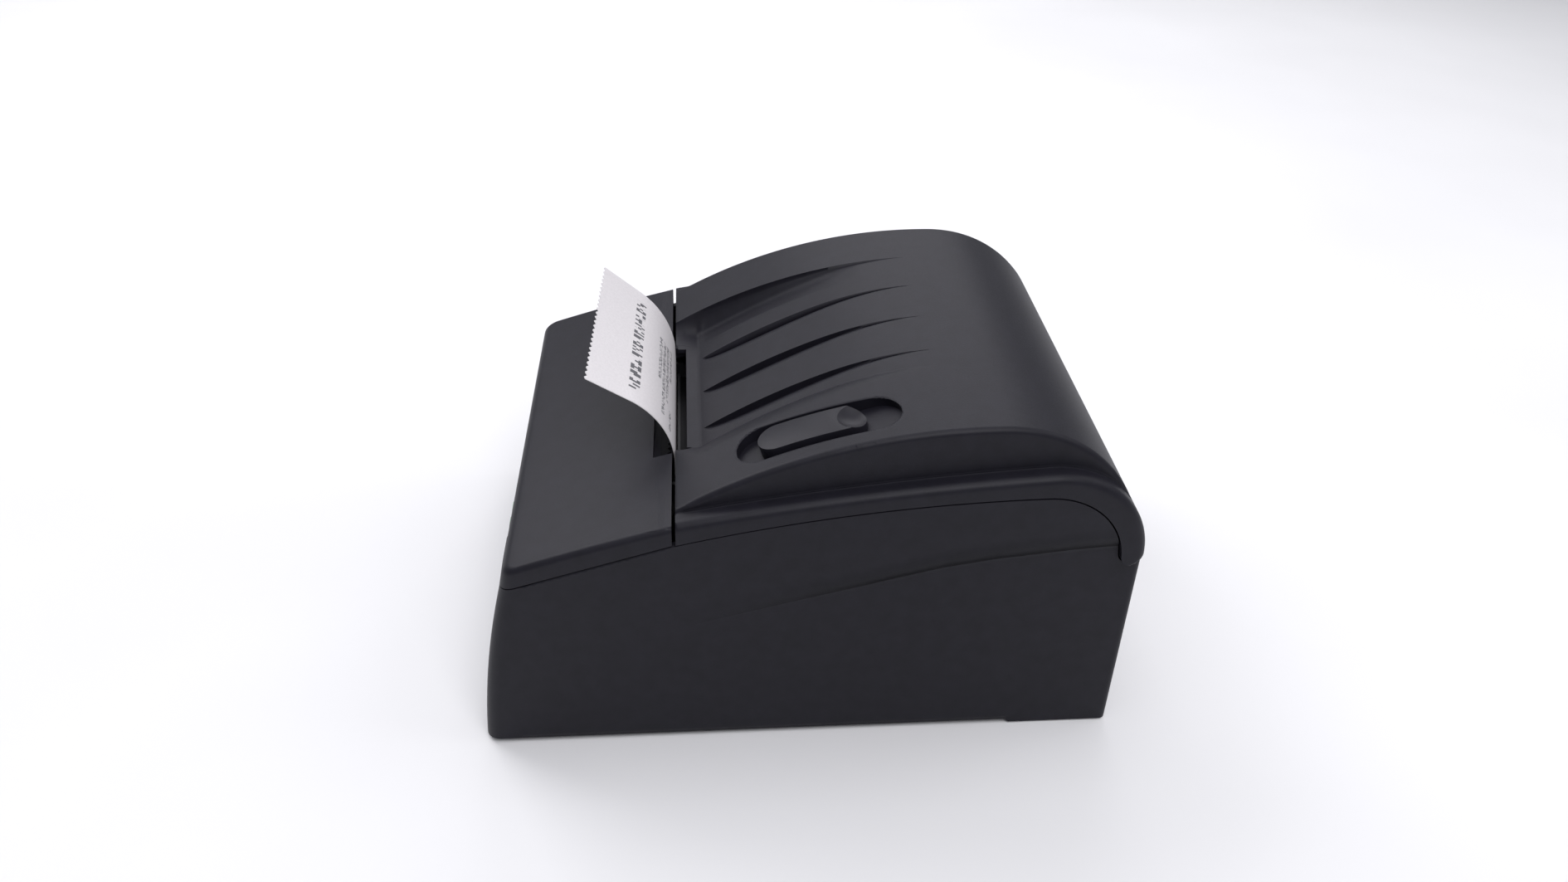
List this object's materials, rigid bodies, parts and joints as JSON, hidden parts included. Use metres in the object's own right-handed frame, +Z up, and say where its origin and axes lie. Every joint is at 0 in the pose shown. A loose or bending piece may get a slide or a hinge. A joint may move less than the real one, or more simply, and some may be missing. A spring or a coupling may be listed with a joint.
{
  "type": "receipt printer",
  "caption": "Desktop thermal receipt printer with a hinged arched lid, drop-in paper roll, print mechanism, sockets, switch and a strip of paper leaving the slot.",
  "frame": {"origin": "bottom centre of the box round the printer, at the soles of the rubber feet", "axes": "+X to the printer's right seen from its front, +Y to the rear, +Z up"},
  "size_m": [0.14, 0.185, 0.102],
  "materials": {
    "casing": "fine spark texture",
    "inner": "smooth moulded",
    "feet": "matte",
    "steel": "bright zinc",
    "platen": "ground",
    "gear": "moulded acetal",
    "bush": "sintered",
    "motor": "plated",
    "board": "solder mask",
    "port": "plated",
    "button": "satin",
    "lens": "translucent",
    "ceramic": "glazed strip",
    "aluminium": "milled",
    "paper": "smooth coated",
    "core": "wound board"
  },
  "bodies": {
    "base": {"base_housing": "casing", "front_cover": "casing", "bottom_plate": "inner", "rubber_feet": "feet", "bottom_screws": "steel", "paper_bin": "inner", "deck_screws": "steel", "mechanism_frame": "steel", "platen_bushes": "bush", "idler_pin": "steel", "stepper_motor": "motor", "motor_screws": "steel", "tear_bar": "steel", "paper_sensor": "inner", "main_board": "board", "board_screws": "steel", "power_jack": "inner", "data_port": "port", "drawer_port": "inner", "power_switch_frame": "inner", "panel_board": "board", "feed_switch": "inner", "status_lenses": "lens", "hinge_pins": "steel", "latch_keeper": "inner", "receipt_paper": "paper"},
    "lid": {"lid_shell": "casing", "head_pivot_pin": "steel", "head_springs": "steel"},
    "head": {"thermal_head": "ceramic", "head_heatsink": "aluminium"},
    "release": {"release_button": "button", "latch_hook": "inner"},
    "platen": {"platen_shaft": "steel", "platen_rubber": "platen", "platen_gear": "gear"},
    "idler": {"idler_gear": "gear"},
    "rotor": {"motor_shaft": "steel", "motor_pinion": "gear"},
    "roll": {"paper_roll": "paper", "roll_core": "core"},
    "feed": {"feed_button": "button"},
    "power": {"power_rocker": "button"}
  },
  "joints": [
    {"name": "lid_hinge", "type": "hinge", "parent": "base", "child": "lid", "pos_m": [0, 0.0889, 0.0634], "axis": [-1, 0, 0], "range_deg": [0, 75]},
    {"name": "release_slide", "type": "slide", "parent": "lid", "child": "release", "axis": [0, -0.9532, -0.3024], "range_m": [0, 0.005], "stiffness_N_per_m": 200, "springref_m": -0.002},
    {"name": "head_rock", "type": "hinge", "parent": "lid", "child": "head", "pos_m": [0, -0.0275, 0.0662], "axis": [1, 0, 0], "range_deg": [0, 3], "stiffness_Nm_per_rad": 1, "springref_deg": -2.86, "deforming": ["head_springs"]},
    {"name": "roll_spin", "type": "hinge", "parent": "base", "child": "roll", "pos_m": [0, 0.0315, 0.0448], "axis": [1, 0, 0], "continuous": true},
    {"name": "platen_spin", "type": "hinge", "parent": "base", "child": "platen", "pos_m": [0, -0.0426, 0.058], "axis": [1, 0, 0], "continuous": true},
    {"name": "idler_spin", "type": "hinge", "parent": "base", "child": "idler", "pos_m": [0, -0.05259, 0.04425], "axis": [1, 0, 0], "continuous": true},
    {"name": "motor_spin", "type": "hinge", "parent": "base", "child": "rotor", "pos_m": [0, -0.05747, 0.03086], "axis": [1, 0, 0], "continuous": true},
    {"name": "feed_press", "type": "slide", "parent": "base", "child": "feed", "axis": [0, 0.9801, -0.1984], "range_m": [0, 0.001], "stiffness_N_per_m": 600, "springref_m": -0.0005},
    {"name": "power_tip", "type": "hinge", "parent": "base", "child": "power", "pos_m": [-0.04, 0.0873, 0.024], "axis": [1, 0, 0], "range_deg": [0, 18]}
  ],
  "couplings": [
    {"joint": "platen_spin", "follows": "roll_spin", "ratio": 4.5455},
    {"joint": "idler_spin", "follows": "roll_spin", "ratio": -3.1818},
    {"joint": "motor_spin", "follows": "roll_spin", "ratio": 7.4866}
  ]
}
